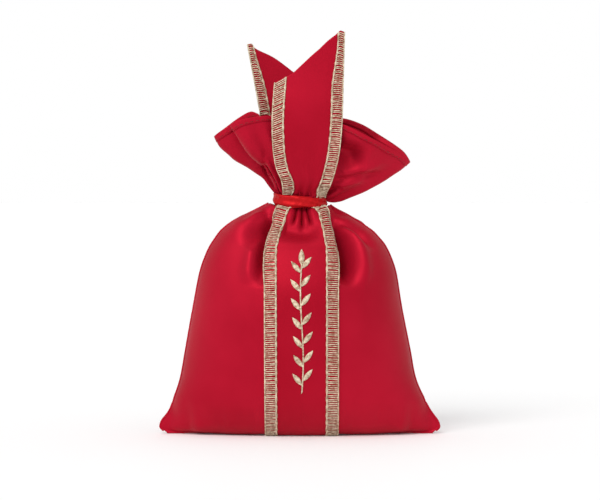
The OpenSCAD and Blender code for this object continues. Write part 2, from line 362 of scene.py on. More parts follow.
def ring(a, b, roundness, gathered, pleated=True):
    """One level of the sack as COLS points a constant cloth length apart: an oval with pleats that take up
    the spare cloth. gathered is 0 where the cloth lies evenly and 1 at the neck. pleated off leaves them out.
    """
    outline, along = oval(a, b, roundness)
    cloth_total = sum(s[0] for s in STRETCHES)
    neck_total = sum(s[2] for s in STRETCHES)
    start, dense, placed, cloth_at = 0.0, [], [], 0.0
    spine = a * 0.25
    for cloth, pleats, neck in STRETCHES:
        share = mix(cloth / cloth_total, neck / neck_total, gathered)
        t = np.linspace(0, 1, 60 * pleats + 1)
        where = (start + share * t) * along[-1]
        base = np.stack([np.interp(where, along, outline[:, k]) for k in range(2)], 1)
        inward = np.stack([np.clip(base[:, 0], -spine, spine), np.zeros(len(base))], 1) - base
        wave = ((1 - np.cos(2 * np.pi * pleats * t)) / 2)[:, None]
        low, high = 0.0, 0.84 if pleated else 0.0
        for _ in range(24):
            depth = (low + high) / 2
            line = base + inward * wave * depth
            if arc_length(line) < cloth:
                low = depth
            else:
                high = depth
        far = lengths_along(line)
        placed.append(cloth_at + far / far[-1] * cloth)
        dense.append(line)
        cloth_at += cloth
        start += share
    placed, dense = np.concatenate(placed), np.concatenate(dense)
    want = np.arange(COLS) * cloth_at / COLS
    return np.stack([np.interp(want, placed, dense[:, k]) for k in range(2)], 1)


# ---------------------------------------------------------------- simulated cloth

SIM_SCALE = 20.0


def collider(name, size, place, friction):
    bpy.ops.mesh.primitive_cube_add(size=1, location=[c * MM * SIM_SCALE for c in place])
    block = bpy.context.object
    block.name = name
    block.scale = [s * MM * SIM_SCALE for s in size]
    block.modifiers.new("collision", "COLLISION")
    block.collision.thickness_outer = 0.004
    block.collision.cloth_friction = friction
    return block


def drape(points, flat, faces, pins, frames, pressure, gravity, bending, colliders):
    """Runs Blender's cloth on a mesh in millimetres whose rest lengths are those of the flat pattern, and
    returns its points."""
    mesh = bpy.data.meshes.new("draped")
    mesh.from_pydata((points * MM * SIM_SCALE).tolist(), [], faces)
    mesh.update()
    cloth = bpy.data.objects.new("draped", mesh)
    bpy.context.scene.collection.objects.link(cloth)
    cloth.shape_key_add(name="Basis")
    key = cloth.shape_key_add(name="flat")
    key.data.foreach_set("co", (flat * MM * SIM_SCALE).astype(np.float32).ravel())
    group = cloth.vertex_groups.new(name="pins")
    for index, weight in pins:
        group.add([int(index)], weight, "REPLACE")
    modifier = cloth.modifiers.new("cloth", "CLOTH")
    s = modifier.settings
    s.quality = 6
    s.mass = 0.3
    s.air_damping = 2.0
    s.bending_model = "ANGULAR"
    s.tension_stiffness, s.compression_stiffness, s.shear_stiffness = 30, 15, 8
    s.tension_damping = s.compression_damping = s.shear_damping = 5
    s.bending_stiffness, s.bending_damping = bending, 0.5
    s.vertex_group_mass = "pins"
    s.pin_stiffness = 1
    s.rest_shape_key = cloth.data.shape_keys.key_blocks["flat"]
    s.use_pressure = pressure > 0
    s.uniform_pressure_force = pressure
    s.effector_weights.gravity = gravity
    modifier.collision_settings.use_collision = bool(colliders)
    modifier.collision_settings.distance_min = 0.01
    modifier.collision_settings.use_self_collision = False
    modifier.point_cache.frame_start, modifier.point_cache.frame_end = 1, frames
    scene = bpy.context.scene
    for step in range(1, frames + 1):
        scene.frame_set(step)
    found = cloth.evaluated_get(bpy.context.evaluated_depsgraph_get())
    out = np.array([v.co for v in found.data.vertices], float) / (MM * SIM_SCALE)
    bpy.data.objects.remove(cloth)
    for block in colliders:
        bpy.data.objects.remove(block)
    scene.frame_set(1)
    return out


def tube_faces(rows, cols, closed_bottom):
    """Faces of a tube of rows by cols points. With closed_bottom its first row is sewn front to back."""
    index = np.arange(rows * cols)
    if closed_bottom:
        for j in range(cols // 2 + 1, cols):
            index[j] = cols - j
    faces = []
    for i in range(rows - 1):
        for j in range(cols):
            k = (j + 1) % cols
            low, high = i * cols, (i + 1) * cols
            corners = (index[low + j], index[low + k], index[high + k], index[high + j])
            face = list(dict.fromkeys(int(c) for c in corners))
            if len(face) > 2:
                faces.append(face)
    used = sorted({c for f in faces for c in f})
    new = {c: n for n, c in enumerate(used)}
    return [[new[c] for c in f] for f in faces], np.array(used), index


def flat_pattern(rows, cols, length):
    """The two layers of the empty sack laid flat, a hair apart."""
    flat = np.zeros((rows, cols, 3))
    u = np.arange(cols) / cols * GIRTH
    front = u <= GIRTH / 2
    flat[:, :, 0] = np.where(front, u - FLAT_W / 2, 1.5 * FLAT_W - u)
    flat[:, :, 1] = np.where(front, -0.2, 0.2)
    flat[:, :, 2] = np.linspace(0, length, rows)[:, None]
    return flat.reshape(-1, 3)


# ---------------------------------------------------------------- belly

BELLY_ROWS = 66
# Against the share of the cloth from the bottom seam to the tie: half width, half depth and height.
BELLY_HALF_W = [(0, 50), (0.045, 49.2), (0.15, 45.4), (0.37, 41.0), (0.62, 37.2), (0.74, 35), (0.84, 31),
                (0.9, 26.5), (0.95, 20), (1, NECK_A)]
BELLY_HALF_D = [(0, 0.6), (0.08, 9), (0.17, 17), (0.3, 22), (0.5, 24), (0.7, 24), (0.84, 21), (0.9, 17.5),
                (0.95, 13), (1, NECK_B)]
BELLY_Z = [(0, 1.0), (0.1, 2.0), (0.2, 5), (0.32, 18), (0.6, 46), (0.8, 63), (0.9, 72), (0.96, 77), (1, 81)]
HALF_DEPTH = 24.0
# Passes of smoothing: of the upper belly round and up it, of the lower belly up it, of the bottom round it.
UPPER_ROUND, UPPER_UP, LOWER_UP, BOTTOM_ROUND = 70, 6, 30, 20
# How far the simulated belly is let down, and the width over which one side's scale turns to the other's.
FLOOR_SINK, SIDE_BLEND = 0.8, 30
# Height, and the filled sack's reach to the left and to the right at it: a few points of two smooth curves.
SILHOUETTE = [(0, 50, 50), (4, 49.6, 49.4), (8, 46.7, 46.6), (13, 44.8, 44.0), (20, 42.5, 41.0),
              (30, 40.7, 39.1), (45, 38.0, 36.1), (60, 34.9, 33.4), (70, 30.1, 28.3), (76, 24, 21),
              (82, 11, 10.6)]
# How far up the side seam the corner reaches, where it begins to round over, and by how much.
CORNER_H, CORNER_R, CORNER_INSET = 24.0, 4.8, 2.4
LOFT_FROM, LOFT_ROWS, NECK_Z = 56, 14, 81.0
# The shoulders from the belly to the tie: share of the way, reach to the left and right, height there. The
# cloth puffs out over the ribbon's lower edge before it turns in.
SHOULDER = [(0.15, 28.6, 26.2, 72.1, 72.1), (0.28, 26.2, 23.1, 74.3, 74.3), (0.42, 23.0, 19.8, 76.5, 76.4),
            (0.57, 18.2, 16.2, 78.8, 78.6), (0.72, 13.8, 12.2, 81.0, 80.6), (0.85, 11.0, 10.6, 82.5, 81.9),
            (0.92, 10.1, 10.0, 82.4, 81.6), (1, NECK_A, NECK_A, NECK_Z, NECK_Z)]
# Height, and where the band's left edging and right edging begin and end on the front.
BAND_EDGES = [(0, -12.3, -8.2, 9.3, 13.5), (62, -12.4, -8.3, 9.2, 13.3), (65.7, -12.3, -8.3, 9.2, 13.0),
              (72.8, -10.8, -6.9, 8.0, 11.7), (78.2, -8.9, -4.7, 6.1, 9.9), (81, -6.9, -2.9, 3.7, 7.4)]


def belly_start():
    rows = []
    for i in range(BELLY_ROWS):
        v = i / (BELLY_ROWS - 1)
        roundness = table(v, [(0, 1.4), (0.3, 1.1), (0.6, 1.0)])
        gathered = float(smooth((v - 0.72) / 0.28))
        level = ring(table(v, BELLY_HALF_W), table(v, BELLY_HALF_D), roundness, gathered)
        rows.append(np.column_stack([level, np.full(COLS, table(v, BELLY_Z))]))
    return np.concatenate(rows)


def shape_belly(belly):
    """The simulated belly with its small side folds eased, and its outline and corners fitted."""
    rows = len(belly)
    share = np.linspace(0, 1, rows)
    height = share * BELLY_L
    eased = blur(belly, 1, UPPER_ROUND, closed=True)
    ease = smooth((share - 0.4) / 0.3)
    belly = mix(belly, eased, ease[:, None, None])
    belly = mix(belly, blur(belly, 0, UPPER_UP), 0.8 * ease[:, None, None])
    above_floor = smooth((height - 8) / 10) * (1 - ease)
    belly = mix(belly, blur(belly, 0, LOWER_UP), above_floor[:, None, None])
    belly[:, :, 1] *= HALF_DEPTH / np.abs(belly[:, :, 1]).max()
    belly[:, :, 2] -= FLOOR_SINK * (1 - smooth(belly[:, :, 2] / 10))

    # The side seam runs up evenly from its corner, and the bottom lies flat beside it.
    column = np.arange(COLS) * CLOTH_STEP
    aside = np.minimum(np.minimum(column, GIRTH - column), np.abs(column - FLAT_W))
    flat = ((1 - smooth((aside - 20) / 10))[None] * (1 - smooth((height - 10) / 8))[:, None])[..., None]
    belly = mix(belly, blur(belly, 1, BOTTOM_ROUND, closed=True), flat * (0.0, 0.0, 1.0))
    top_row = int(CORNER_H / BELLY_L * (rows - 1))
    rise = 0.3 + (belly[top_row, 0, 2] - 0.3) * np.clip(height / CORNER_H, 0, 1)
    stand = np.exp(-(aside / 5) ** 2)[None] * (np.arange(rows) <= top_row)[:, None]
    belly[:, :, 2] = mix(belly[:, :, 2], rise[:, None], stand)

    # Each row is drawn in or out to the outline at the height of its end.
    outline = refine(np.array(SILHOUETTE, float), 6)
    drawn = []
    for k, way in ((0, -1), (1, 1)):
        ends = np.argmax(way * belly[:, :, 0], axis=1)
        x = way * belly[np.arange(rows), ends, 0]
        z = belly[np.arange(rows), ends, 2]
        want = np.interp(z, outline[:, 0], outline[:, 1 + k])
        dip = np.clip(CORNER_R - height, 0, CORNER_R)
        want = want - CORNER_INSET * (dip / CORNER_R) ** 2
        drawn.append(want / x)
    left, right = (blur(d, 0, 1)[:, None] for d in drawn)
    x = belly[:, :, 0]
    belly[:, :, 0] = x * mix(left, right, smooth(0.5 + x / SIDE_BLEND))
    return align_band(draw_to_neck(belly))


def draw_to_neck(belly):
    """The belly with its top rows led evenly to the tie along SHOULDER."""
    base = belly[LOFT_FROM]
    neck = ring(NECK_A, NECK_B, NECK_ROUND, 1.0, pleated=False)
    reach = (-base[:, 0].min(), base[:, 0].max())
    depth = np.abs(base[:, 1]).max()
    right = smooth(0.5 + base[:, 0] / SIDE_BLEND)
    wide = mix(reach[0], reach[1], right)
    shape = base[:, :2] / np.column_stack([wide, np.full(COLS, depth)])
    gathered = neck / np.array([NECK_A, NECK_B])
    rows = []
    for t in np.linspace(0, 1, LOFT_ROWS)[1:]:
        now = mix(shape, gathered, t ** 1.6)
        far_left, far_right, z_left, z_right = (
            curve(t, [(0, first)] + [(r[0], r[1 + k]) for r in SHOULDER])
            for k, first in enumerate((*reach, base[0, 2], base[COLS // 2, 2])))
        x = now[:, 0] * mix(far_left, far_right, right)
        y = now[:, 1] * mix(depth, NECK_B, t ** 1.15)
        side = np.clip(np.abs(now[:, 0]), 0, 1) ** 2
        z = mix(mix(base[:, 2], NECK_Z, t), mix(z_left, z_right, right), side)
        rows.append(np.column_stack([x, y, z]))
    return np.concatenate([belly[:LOFT_FROM + 1], np.array(rows)])


def band_lines(z, side):
    """Where the four lines of the band's edgings lie at height z, from left to right as seen from side."""
    lines = [table(z, [(e[0], e[k]) for e in BAND_EDGES]) for k in (1, 2, 3, 4)]
    return lines if side == "front" else [-line for line in reversed(lines)]


def align_band(belly):
    """Slides the cloth round each row until the band's edgings lie on BAND_EDGES. The shape stays."""
    half = COLS // 2
    u = np.arange(half + 1) * CLOTH_STEP
    out = belly.copy()
    around = np.concatenate([belly, belly[:, :1]], 1)
    for side, mid in (("front", FLAT_W / 2 + BAND_MID), ("back", FLAT_W / 2 - BAND_MID)):
        first, way = (0, 1) if side == "front" else (half, -1)
        edge = BAND_W / 2
        cloth = [0, mid - edge, mid - edge + EDGING_W, mid + edge - EDGING_W, mid + edge, FLAT_W]
        track = []
        for row in range(len(belly)):
            line = around[row, first:first + half + 1]
            rising = np.maximum.accumulate(way * blur(line[:, 0], 0, 3))
            z = float(np.interp(mid, u, line[:, 2]))
            track.append([float(np.interp(e, rising, u)) for e in band_lines(z, side)])
        for row, place in enumerate(blur(track, 0, 1)):
            line = around[row, first:first + half + 1]
            at = np.interp(u, cloth, [0, *place, FLAT_W])
            slid = np.stack([np.interp(at, u, line[:, k]) for k in range(3)], 1)
            out[row, first:first + half] = slid[:-1]
    return out


# Folds pressed into the front, or raised where the depth is below nought: depth, width, and a line of (x, z).
FOLDS = [(4.0, 2.4, [(-10.0, 79.0), (-12.4, 75.4), (-16.0, 72.2), (-20.0, 67.0)]),
         (6.4, 2.0, [(-10.8, 76.0), (-12.8, 69.0), (-13.8, 62.0), (-14.4, 53.0)]),
         (-1.2, 3.0, [(-12.5, 80.0), (-20.0, 76.0), (-25.6, 69.0)]),
         (-0.9, 2.2, [(-16.6, 66.5), (-18.2, 60.0), (-18.2, 54.0)]),
         (3.2, 1.5, [(11.6, 78.6), (15.8, 76.0), (20.2, 73.2), (23.8, 69.3), (27.6, 65.6)]),
         (-1.8, 2.3, [(13.0, 77.5), (19.0, 72.5), (22.1, 64.9), (22.9, 57.0), (20.9, 50.5)]),
         (8.8, 2.3, [(10.8, 76.4), (14.6, 69.0), (16.4, 61.0), (17.0, 52.5)]),
         (1.6, 4.6, [(12.0, 72.0), (15.6, 63.0), (16.0, 54.0)]),
         (-1.6, 1.2, [(14.6, 68.8), (15.9, 65.2)]),
         (0.9, 0.8, [(-10.5, 80.9), (-13.5, 78.6), (-17.0, 75.8)]),
         (0.9, 0.8, [(-12.0, 80.9), (-16.5, 79.0), (-22.0, 75.0)]),
         (0.9, 0.8, [(10.0, 80.9), (14.0, 79.2), (18.5, 76.6)])]
GATHERS = [(2.6, 0.75, [(-1.2, 82.8), (-1.6, 79.0), (-3.0, 75.2)]),
           (3.0, 0.8, [(0.6, 82.8), (0.7, 78.5), (0.5, 73.4)]),
           (2.6, 0.75, [(2.2, 82.8), (2.9, 79.0), (4.4, 74.8)]),
           (2.4, 3.2, [(-6.0, 74.2), (1.0, 73.0), (8.0, 74.2)])]
FRILL_FOLDS = [(5.2, 4.2, [(10.0, 102.0), (17.0, 99.0), (24.0, 96.6)]),
               (-1.0, 1.5, [(15.0, 93.0), (22.0, 94.6), (33.0, 97.0)]),
               (1.0, 1.0, [(13.0, 90.6), (22.0, 92.2), (30.0, 93.6)]),
               (-0.9, 1.3, [(11.5, 88.2), (18.0, 90.0), (25.6, 90.8)]),
               (1.9, 1.2, [(8.5, 85.5), (11.5, 87.4), (15.0, 88.6)]),
               (0.8, 1.0, [(-9.0, 88.0), (-12.0, 94.0), (-13.0, 103.0)]),
               (-0.8, 2.2, [(-14.0, 95.0), (-18.0, 103.0), (-19.0, 109.0)])]


def press_folds(grid, folds, beside=None):
    """Presses each fold into the grid along its normals, fading out at the ends of its line. beside, where
    given, is the share of each point's press that is kept."""
    normals = unit(blur(blur(normals_of(grid), 0, 4), 1, 4))
    x, z = grid[:, :, 0], grid[:, :, 2]
    push = np.zeros(x.shape)
    for depth, width, line in folds:
        line = refine(np.array(line, float), 5)
        nearest = np.full(x.shape, 1e9)
        share = np.zeros(x.shape)
        for k, (a, b) in enumerate(zip(line[:-1], line[1:])):
            way = b - a
            t = np.clip(((x - a[0]) * way[0] + (z - a[1]) * way[1]) / (way @ way), 0, 1)
            far = np.hypot(x - a[0] - t * way[0], z - a[1] - t * way[1])
            better = far < nearest
            nearest = np.where(better, far, nearest)
            share = np.where(better, (k + t) / (len(line) - 1), share)
        fade = smooth(share * 5 + 0.45) * smooth((1 - share) * 2.2)
        push += depth * fade * np.exp(-(nearest / width) ** 2)
    if beside is not None:
        push = push * beside
    return grid - normals * push[..., None]


def beside_band(grid, way):
    """1 beside the band, and 0 under it, where it holds the panel flat, and at the side seams."""
    x, z = way * grid[:, :, 0], grid[:, :, 2]
    left, _, _, right = band_lines(z, "front")
    column = np.linspace(0, FLAT_W, grid.shape[1])
    off_seam = smooth((np.minimum(column, FLAT_W - column) - 1) / 6)
    return smooth((np.maximum(left - x, x - right) + 0.6) / 1.8) * off_seam


def simulate_belly():
    """Points of the belly as rows x cols x 3, from the bottom seam to the tie."""
    points = belly_start()
    flat = flat_pattern(BELLY_ROWS, COLS, BELLY_L)
    faces, used, index = tube_faces(BELLY_ROWS, COLS, True)
    pins = [(n, 1.0) for n in np.nonzero(used // COLS >= BELLY_ROWS - 3)[0]]
    ground = collider("ground", (300, 300, 20), (0, 0, -10), 5)
    points[used] = drape(points[used], flat[used], faces, pins, 50, 9.0, 0.6, 2.0, [ground])
    return points[index].reshape(BELLY_ROWS, COLS, 3)


# ---------------------------------------------------------------- frill

FRILL_ROWS = 27
# The mouth's edge, from the left seam along the front and back again behind.
MOUTH = [(-30.2, 0.0, 106.2), (-26.9, -2.4, 108.9), (-22, -1.4, 112.6), (-17.4, -2.2, 114.9),
         (-14.8, -4.4, 113.4), (-18.0, -6.0, 111.6), (-22.6, -7.8, 110.4), (-24.6, -11.0, 110.2),
         (-21.8, -12.8, 111.8), (-16.0, -11.8, 113.0), (-8.0, -10.0, 113.5), (0, -9.2, 113.4),
         (8, -9.4, 112.4), (16, -11.6, 110.0), (24, -11.2, 106.2), (31.0, -7.4, 102.6), (36.0, -3.8, 99.6),
         (38.8, 0.0, 97.1),
         (37.0, 4.0, 100.4), (33.5, 8.6, 103.4), (28.0, 11.0, 107.0), (22.5, 8.0, 110.2), (17, 7.4, 112.2),
         (12, 11.0, 112.8), (5, 12.0, 113.4), (-1, 8.4, 113.8), (-6, 7.6, 113.8), (-10.5, 11.0, 113.4),
         (-15.5, 13.4, 112.6), (-21, 13.0, 110.8), (-23.2, 9.4, 110.4), (-23.6, 5.8, 109.8),
         (-26.8, 4.6, 107.6)]
# Its place in the list where the right seam meets the mouth.
RIGHT_TIP = 17


def mouth_edge():
    """COLS points round the mouth, half of them on the front."""
    per = 24
    line = refine(np.array(MOUTH), per, closed=True)
    line = np.vstack([line, line[:1]])
    cut = RIGHT_TIP * per
    front, back = resample(line[:cut + 1], COLS // 2), resample(line[cut:], COLS // 2)
    return np.concatenate([front, back])


# Share of the way from neck to mouth, and how far the cloth's side runs from the straight way there: on the
# left it is drawn in above the tie and swells under the tip, on the right it hangs low.
LEFT_SWAY = [(0, 0), (0.2, 1.2), (0.45, -0.5), (0.7, -2.1), (0.88, -1.6), (1, 0)]
RIGHT_SAG = [(0, 0), (0.1, -3.5), (0.25, -4.9), (0.5, -5.0), (0.75, -3.1), (0.9, -1.2), (1, 0)]


def frill_start():
    neck = np.column_stack([ring(NECK_A, NECK_B, NECK_ROUND, 1.0), np.full(COLS, TIE_HIGH)])
    edge = mouth_edge()
    rows = []
    for i in range(FRILL_ROWS):
        t = i / (FRILL_ROWS - 1)
        bow = np.zeros_like(edge)
        middle = np.clip(1 - np.abs(edge[:, 0]) / 34, 0, 1)
        bow[:, 1] = np.sign(edge[:, 1]) * 2.5 * math.sin(math.pi * t) * middle
        right = smooth((edge[:, 0] - 12) / 24)
        left = smooth((-edge[:, 0] - 12) / 14)
        bow[:, 2] = right * curve(t, RIGHT_SAG) + left * curve(t, LEFT_SWAY)
        swell = t * (1 - t) * 4
        blunt = math.exp(-((t - 0.9) / 0.09) ** 2)
        bow[:, 0] = 0.9 * blunt * (smooth((edge[:, 0] - 30) / 8) - smooth((-edge[:, 0] - 25) / 5))
        bow[:, 2] += 0.5 * right * np.sin(edge[:, 1] * 1.1) * swell
        rows.append(neck + (edge - neck) * t + bow)
    return np.concatenate(rows)


def simulate_frill():
    points = frill_start()
    flat = flat_pattern(FRILL_ROWS, COLS, FRILL_L)
    faces, used, index = tube_faces(FRILL_ROWS, COLS, False)
    level = used // COLS
    pins = [(n, 1.0) for n in np.nonzero(level <= 1)[0]]
    pins += [(n, 0.6) for n in np.nonzero(level == FRILL_ROWS - 1)[0]]
    pins += [(n, 0.35) for n in np.nonzero((level > 1) & (level < FRILL_ROWS - 1))[0]]
    points[used] = drape(points[used], flat[used], faces, pins, 20, 0, 0.1, 1.0, [])
    points = points.reshape(FRILL_ROWS, COLS, 3)
    share = np.linspace(0, 1, FRILL_ROWS)
    low = smooth((share - 0.12) / 0.2) * (1 - smooth((share - 0.45) / 0.3))
    aside = np.abs(np.arange(COLS) * CLOTH_STEP % FLAT_W - FLAT_W / 2)
    shown = smooth((aside - BAND_W / 2 + 2) / 4)
    return mix(points, blur(points, 1, 5, closed=True), (low[:, None] * shown)[..., None])


# ---------------------------------------------------------------- materials

def put(tree, kind, place, **values):
    """A node with the values of some of its sockets set."""
    made = tree.nodes.new(kind)
    made.location = place
    for name, value in values.items():
        made.inputs[name.replace("_", " ")].default_value = value
    return made


def put_noise(tree, place, scale, detail, roughness=0.5):
    """Noise that stays with the piece, at scale to the metre."""
    where = put(tree, "ShaderNodeTexCoord", (place[0] - 200, place[1]))
    noise = put(tree, "ShaderNodeTexNoise", place, Scale=scale, Detail=detail, Roughness=roughness)
    tree.links.new(where.outputs["Object"], noise.inputs["Vector"])
    return noise.outputs["Fac"]


def put_shades(tree, shader, noise, stops, shades, glosses):
    """Lets the noise choose between two shades and between two roughnesses."""
    ramp = put(tree, "ShaderNodeValToRGB", (-550, 300))
    for stop, at, shade in zip(ramp.color_ramp.elements, stops, shades):
        stop.position = at
        stop.color = (*shade, 1)
    tree.links.new(noise, ramp.inputs["Fac"])
    tree.links.new(ramp.outputs["Color"], shader.inputs["Base Color"])
    gloss = put(tree, "ShaderNodeMapRange", (-550, 60), To_Min=glosses[0], To_Max=glosses[1])
    tree.links.new(noise, gloss.inputs["Value"])
    tree.links.new(gloss.outputs["Result"], shader.inputs["Roughness"])


def put_bump(tree, place, height, strength, distance):
    bump = put(tree, "ShaderNodeBump", place, Strength=strength, Distance=distance)
    tree.links.new(height, bump.inputs["Height"])
    return bump


CRUMPLE = 0.00012


def cloth_paint(name, deep, light, roughness, sheen, tint, weave_mm, weave_height, lustre=0.28):
    """Woven cloth: a slow change of colour, two sets of threads and a faint crumple."""
    paint, tree, shader = new_paint(name)
    shader.inputs["Metallic"].default_value = lustre
    shader.inputs["Sheen Weight"].default_value = sheen
    shader.inputs["Sheen Roughness"].default_value = 0.45
    shader.inputs["Sheen Tint"].default_value = (*tint, 1)
    shader.inputs["Specular IOR Level"].default_value = 0.3
    shader.inputs["Specular Tint"].default_value = (*tint, 1)
    slow = put_noise(tree, (-800, 300), 28.0, 3.0, 0.55)
    put_shades(tree, shader, slow, (0.3, 0.7), (deep, light), (roughness - 0.05, roughness + 0.06))
    space = put(tree, "ShaderNodeTexCoord", (-1000, -200))
    weave = put(tree, "ShaderNodeMath", (-550, -260))
    weave.operation = "MAXIMUM"
    for row, direction in enumerate(("X", "Y")):
        wave = put(tree, "ShaderNodeTexWave", (-800, -200 - 200 * row),
                   Scale=math.pi / (10 * weave_mm * MM), Distortion=0.6, Detail=1.0)
        wave.bands_direction = direction
        tree.links.new(space.outputs["UV"], wave.inputs["Vector"])
        tree.links.new(wave.outputs["Fac"], weave.inputs[row])
    folds = put_bump(tree, (-330, -420), put_noise(tree, (-800, -650), 160.0, 2.0), 0.5, CRUMPLE)
    threads = put_bump(tree, (-150, -260), weave.outputs["Value"], 0.5, weave_height)
    tree.links.new(folds.outputs["Normal"], threads.inputs["Normal"])
    tree.links.new(threads.outputs["Normal"], shader.inputs["Normal"])
    return paint


def thread_paint(name, deep, light, roughness, metallic):
    """Twisted thread: strands of two shades with a fine twist in the bump."""
    paint, tree, shader = new_paint(name)
    shader.inputs["Metallic"].default_value = metallic
    shader.inputs["Sheen Weight"].default_value = 0.05
    shader.inputs["Sheen Roughness"].default_value = 0.4
    strands = put_noise(tree, (-800, 300), 900.0, 2.0, 0.6)
    put_shades(tree, shader, strands, (0.34, 0.62), (deep, light), (roughness - 0.08, roughness + 0.1))
    twist = put_bump(tree, (-200, -200), strands, 0.6, 0.00005)
    tree.links.new(twist.outputs["Normal"], shader.inputs["Normal"])
    return paint


def make_paints():
    red, orange, white = (1.0, 0.16, 0.18), (1.0, 0.3, 0.25), (1, 1, 1)
    # Width of a thread in millimetres and height of the weave in metres.
    satin, ribbon, wadding = (0.22, 0.00002), (0.18, 0.00004), (0.5, 0.0002)
    return {
        "satin": cloth_paint("red_satin", (0.37, 0.004, 0.019), (0.46, 0.007, 0.027), 0.46, 0.03,
                             red, *satin),
        "band": cloth_paint("band_satin", (0.34, 0.003, 0.015), (0.41, 0.005, 0.022), 0.46, 0.03,
                            red, *satin),
        "hem": cloth_paint("hem_satin", (0.38, 0.004, 0.018), (0.47, 0.008, 0.028), 0.48, 0.04,
                           red, *satin),
        "ribbon": cloth_paint("ribbon_satin", (0.37, 0.004, 0.007), (0.52, 0.008, 0.013), 0.42, 0.03,
                              orange, *ribbon),
        "wadding": cloth_paint("wadding", (0.7, 0.68, 0.64), (0.8, 0.79, 0.76), 0.9, 0.4, white, *wadding,
                               lustre=0.0),
        "edging": thread_paint("beige_thread", (0.38, 0.25, 0.15), (0.80, 0.69, 0.51), 0.45, 0.1),
        "sewing": thread_paint("red_thread", (0.16, 0.002, 0.006), (0.32, 0.004, 0.012), 0.6, 0.0),
    }


# ---------------------------------------------------------------- putting pieces in place

def keep(made, body, slot, *nodes):
    """The piece moves with body and stands for the CAD nodes. slot is not used."""
    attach(made, body)
    if nodes:
        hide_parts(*nodes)
    return made


def bend(made, moving, start, end, slot, *nodes):
    """Bakes the piece's place into its mesh and stands for the CAD nodes. moving, start, end and slot are not
    used.
    """
    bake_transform(made)
    if nodes:
        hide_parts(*nodes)
    return made


# ---------------------------------------------------------------- the sack

PANEL_T = 0.4
BAND_T = 0.5
BAND_MID = 0.6
FINE = 2


def finer(grid):
    return refine(refine(grid, FINE), FINE, axis=1)


def stand_on_floor(belly):
    """Lets the belly down on to the floor, raised a band's thickness where the band runs under it."""
    belly = belly.copy()
    z = belly[:, :, 2]
    low = np.percentile(z, 2)
    z = z - low * (1 - smooth(z / 15))
    aside = np.abs(belly[:, :, 0] - BAND_MID) - BAND_W / 2
    floor = mix(BAND_T + 0.12, 0.03, smooth(aside / 5))
    belly[:, :, 2] = np.maximum(z, floor)
    return belly


# The filling's width, depth and height for the belly's, and how much thinner it is between the two pockets.
FILLING_SIZE = (0.88, 0.58, 0.84)
FILLING_TAPER = 0.55


def make_filling(belly, paint):
    """The stuffing: the belly's inside, drawn in and smoothed, so that the pressed pockets clear it."""
    core = blur(blur(belly[2:, ::2], 1, 40, closed=True), 0, 6)
    middle = np.array([0, 0, 34.0])
    core = middle + (core - middle) * np.array(FILLING_SIZE)
    core[:, :, 1] *= 1 - FILLING_TAPER * smooth((core[:, :, 2] - 38) / 14)
    rows, cols = core.shape[:2]
    core[:, :, 2] = np.maximum(core[:, :, 2], 2.0)
    count = rows * cols
    top = count - cols
    faces = grid_faces(rows, cols, closed=True)
    faces += [[(j + 1) % cols, j, count] for j in range(cols)]
    faces += [[top + j, top + (j + 1) % cols, count + 1] for j in range(cols)]
    ends = [core[0].mean(0), core[-1].mean(0)]
    made = link("filling", np.concatenate([core.reshape(-1, 3), ends]), faces, paint)
    keep(made, "sack", "wadding", "filling")
    return made


def make_panels(belly, paints):
    """Front and back panels, carried up through the tie."""
    neck = [np.column_stack([belly[-1, :, :2], np.full(COLS, z)]) for z in (82.4, 83.7, TIE_HIGH)]
    whole = np.concatenate([belly, np.array(neck)])
    half = COLS // 2
    around = np.concatenate([whole, whole[:, :1]], 1)
    grids = {}
    for side, first in (("front", 0), ("back", half)):
        grid = finer(around[:, first:first + half + 1])
        way = 1 if side == "front" else -1
        folds, gathers = ([(d, w, [(way * x, z) for x, z in line]) for d, w, line in rows]
                          for rows in (FOLDS, GATHERS))
        grid = press_folds(press_folds(grid, folds, beside_band(grid, way)), gathers)
        grids[side] = grid
        made = cloth_piece(side + "_panel", grid, PANEL_T, paints["satin"], (FLAT_W, BELLY_L))
        keep(made, "sack", "satin", side + "_panel")
    return whole, grids


SEAM_R = 0.42
SEAM_LIFT = 0.06


def seam_along(name, line, outward, paints):
    """A sewn seam: the turned-in cloth's narrow ridge."""
    threads = Threads()
    threads.add([line + outward * SEAM_LIFT], [outward], SEAM_R, sides=8)
    made = threads.link(name, paints["satin"])
    keep(made, "sack", "seam", name)
    return made


def make_seams(whole, paints):
    half = COLS // 2
    for name, col, way in (("side_seam_left", 0, -1), ("side_seam_right", half, 1)):
        line = refine(whole[1:-5, col], 3)
        outward = np.tile([way, 0.0, 0.0], (len(line), 1))
        seam_along(name, line, outward, paints)
    line = refine(whole[0, :half + 1], 2)
    line[:, 2] = np.maximum(line[:, 2], 0.45)
    seam_along("bottom_seam", line, np.tile([0, 0, 1.0], (len(line), 1)), paints)


# ---------------------------------------------------------------- overlocked edges

STITCH = 0.74
THREAD_R = 0.17


def strip_reader(cloth, lengths, widths):
    """Reads a grid by its lengths and widths in millimetres, with a lift off its surface."""
    rows, cols = cloth.grid.shape[:2]

    def read(s, w, lift):
        row = np.interp(s, lengths, np.arange(rows))
        col = np.interp(w, widths, np.arange(cols))
        point, normal = cloth.read(row, col)
        return point + normal * np.asarray(lift)[..., None], normal

    return read


